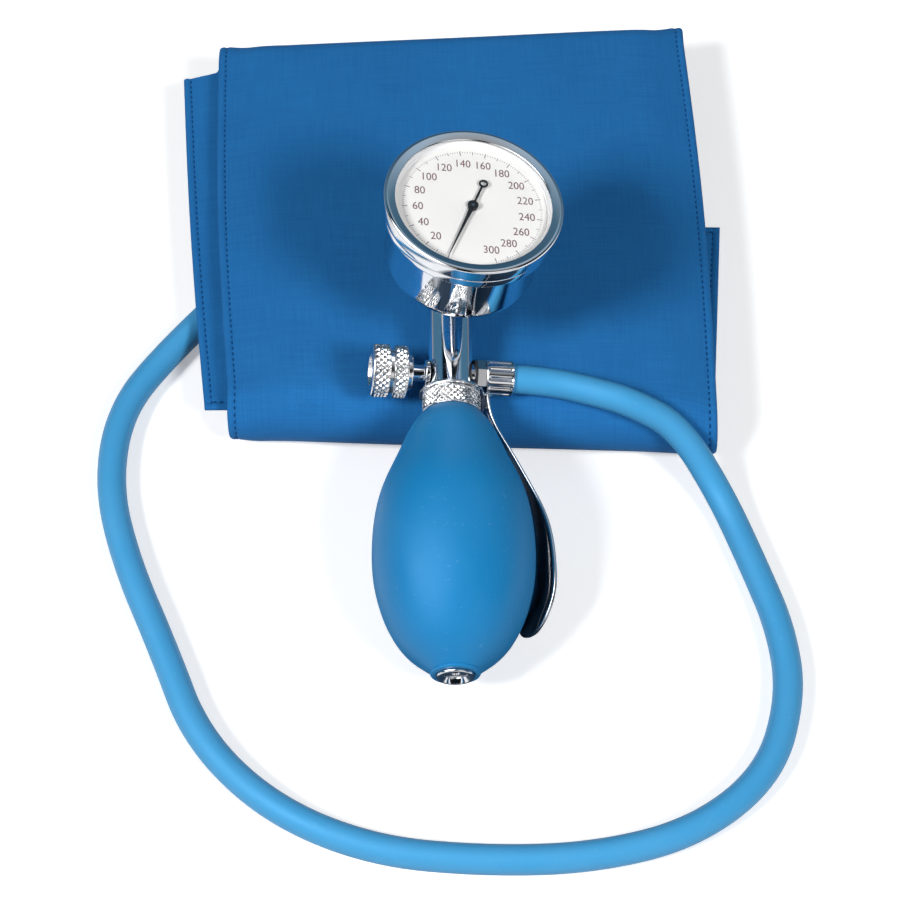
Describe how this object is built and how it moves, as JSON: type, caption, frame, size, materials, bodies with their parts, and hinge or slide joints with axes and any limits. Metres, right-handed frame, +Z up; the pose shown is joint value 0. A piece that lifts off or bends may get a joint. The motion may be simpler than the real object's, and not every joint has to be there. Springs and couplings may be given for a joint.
{
  "type": "aneroid sphygmomanometer",
  "caption": "Palm-type aneroid blood pressure set: dial gauge, release valve, rubber bulb and palm spoon, with a hose to a folded arm cuff.",
  "frame": {"origin": "middle of the folded cuff's underside, on the surface that the set lies on", "axes": "+Z up; +Y from the bulb towards the gauge; +X towards the hose connection"},
  "size_m": [0.2248, 0.3194, 0.0916],
  "materials": {
    "chrome": "polished",
    "brass": "machined",
    "steel": "fine brushed",
    "dial_paint": "matte white",
    "pointer_paint": "matte black",
    "lens": "clear",
    "blue_rubber": "satin",
    "black_rubber": "matte",
    "white_rubber": "matte",
    "blue_cloth": "plain weave",
    "hook_cloth": "hook pile",
    "loop_cloth": "loop pile",
    "grey_plastic": "matte"
  },
  "bodies": {
    "set": {"gauge_case": "chrome", "bezel_ring": "chrome", "dial_plate": "dial_paint", "lens_packing": "white_rubber", "gauge_lens": "lens", "gauge_stem": "brass", "stem_seal": "black_rubber", "stem_nut": "brass", "capsule_plate": "brass", "movement_base_plate": "brass", "movement_bridge": "brass", "movement_top_plate": "brass", "case_pillars": "brass", "plate_pillars": "brass", "plate_screws": "steel", "hairspring": "steel", "hairspring_stud": "brass", "valve_body": "chrome", "release_bonnet": "chrome", "spindle_packing": "black_rubber", "nipple_washer": "black_rubber", "hose_nipple": "chrome", "coupling_nut": "chrome", "bulb_nut": "chrome", "outlet_valve_cage": "brass", "bulb": "blue_rubber", "intake_valve_body": "chrome", "intake_retainer": "chrome", "palm_spoon": "chrome", "cuff_sleeve": "blue_cloth", "bladder": "black_rubber", "hook_patch": "hook_cloth", "loop_patch": "loop_cloth", "cuff_port": "grey_plastic", "hose": "blue_rubber"},
    "sector": {"sector_gear": "brass"},
    "pointer_set": {"pointer_arbor": "steel", "pointer": "pointer_paint"},
    "rocker": {"rocking_shaft": "steel"},
    "capsule_top": {"capsule_diaphragm": "brass"},
    "release_stem": {"release_pad": "black_rubber"},
    "release_screw": {"release_spindle": "brass", "release_knob": "chrome"},
    "outlet_ball": {"outlet_valve_ball": "steel"},
    "intake_ball": {"intake_valve_ball": "steel"}
  },
  "joints": [
    {"name": "sector_pivot", "type": "hinge", "parent": "set", "child": "sector", "pos_m": [-0.00049, -0.02415, 0.07912], "axis": [0.1584, -0.0082, 0.9873], "range_deg": [0, 32]},
    {"name": "pointer_spin", "type": "hinge", "parent": "set", "child": "pointer_set", "pos_m": [0.00117, -0.04399, 0.08476], "axis": [-0.1584, 0.0082, -0.9873], "range_deg": [0, 320]},
    {"name": "rocker_pivot", "type": "hinge", "parent": "set", "child": "rocker", "pos_m": [0.00364, -0.04367, 0.06857], "axis": [-0.0359, 0.9993, 0.014], "range_deg": [0, 10.33]},
    {"name": "capsule_lift", "type": "slide", "parent": "set", "child": "capsule_top", "axis": [0.1584, -0.0082, 0.9873], "range_m": [0, 0.0009], "stiffness_N_per_m": 400, "springref_m": -0.0001},
    {"name": "release_travel", "type": "slide", "parent": "set", "child": "release_stem", "axis": [-0.9867, -0.0377, 0.158], "range_m": [0, 0.00112]},
    {"name": "release_turn", "type": "hinge", "parent": "release_stem", "child": "release_screw", "pos_m": [-0.02885, -0.07413, 0.03881], "axis": [-0.9867, -0.0377, 0.158], "range_deg": [0, 540]},
    {"name": "outlet_ball_lift", "type": "slide", "parent": "set", "child": "outlet_ball", "axis": [-0.0129, 0.9879, 0.1547], "range_m": [0, 0.0008]},
    {"name": "intake_ball_lift", "type": "slide", "parent": "set", "child": "intake_ball", "axis": [-0.0129, 0.9879, 0.1547], "range_m": [0, 0.0008]}
  ],
  "couplings": [
    {"joint": "sector_pivot", "follows": "capsule_lift", "rad_per_m": 620.56},
    {"joint": "pointer_spin", "follows": "capsule_lift", "rad_per_m": 6205.6},
    {"joint": "rocker_pivot", "follows": "capsule_lift", "rad_per_m": 200.27},
    {"joint": "release_turn", "follows": "release_travel", "rad_per_m": 8377.6}
  ]
}
